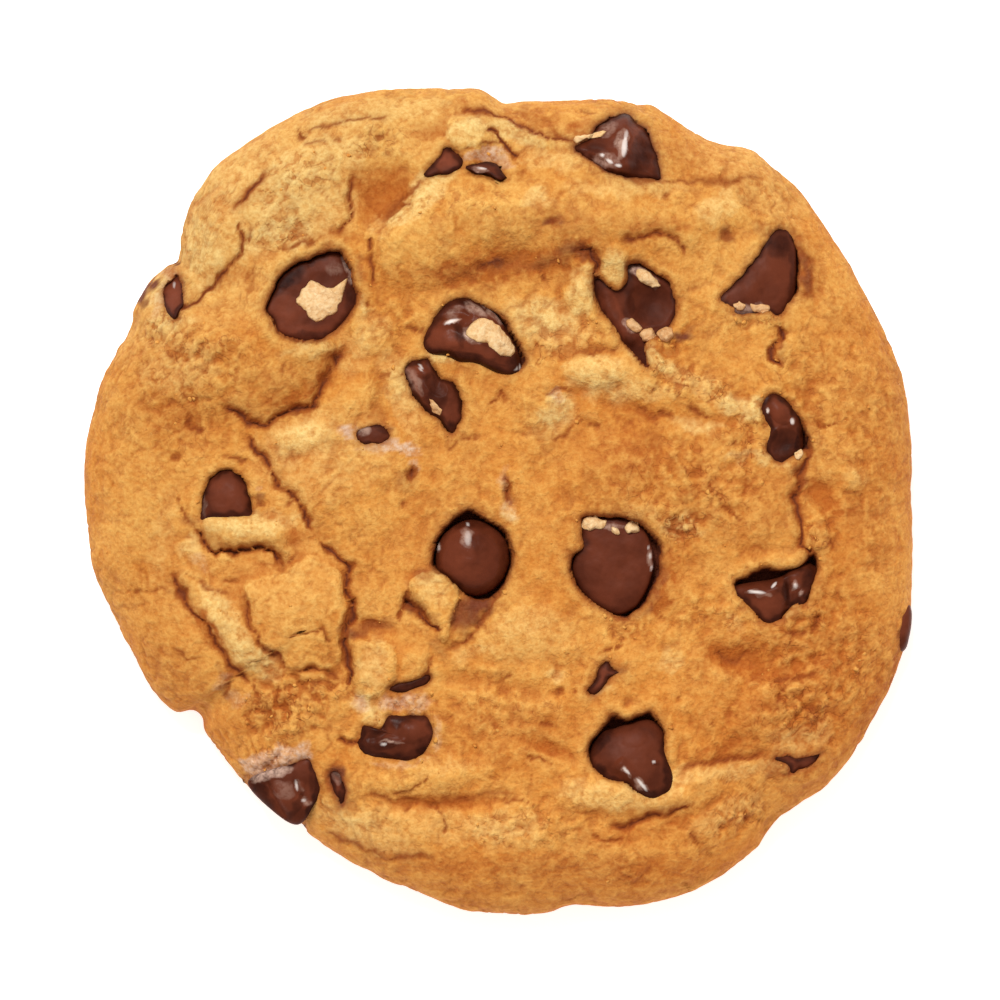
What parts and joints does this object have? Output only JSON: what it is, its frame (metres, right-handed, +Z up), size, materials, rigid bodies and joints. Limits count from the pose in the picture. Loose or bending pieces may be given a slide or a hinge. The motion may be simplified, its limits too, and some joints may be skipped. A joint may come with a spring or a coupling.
{
  "type": "chocolate chip cookie",
  "caption": "Round soft-baked cookie, thick and golden, with a lumpy and cracked top, an uneven rounded rim, a flat base and chocolate chips set into its top and rim.",
  "frame": {"origin": "centre of the flat base", "axes": "+Z up through the thickness; seen from above, +Y is the top of the cookie and +X its right"},
  "size_m": [0.0938, 0.0936, 0.014],
  "materials": {
    "dough": "baked dough: matt, finely grained, golden with browner bulges and paler creases",
    "chocolate": "dark reddish-brown chocolate with a satin sheen, partly smeared with pale crumb"
  },
  "bodies": {
    "root": {"dough": "dough", "chip_01": "chocolate", "chip_02": "chocolate", "chip_03": "chocolate", "chip_04": "chocolate", "chip_05": "chocolate", "chip_06": "chocolate", "chip_07": "chocolate", "chip_08": "chocolate", "chip_09": "chocolate", "chip_10": "chocolate", "chip_11": "chocolate", "chip_12": "chocolate", "chip_13": "chocolate", "chip_14": "chocolate", "chip_15": "chocolate", "chip_16": "chocolate", "chip_17": "chocolate", "chip_18": "chocolate", "chip_19": "chocolate", "chip_20": "chocolate", "chip_21": "chocolate", "chip_22": "chocolate", "chip_23": "chocolate"}
  },
  "joints": []
}
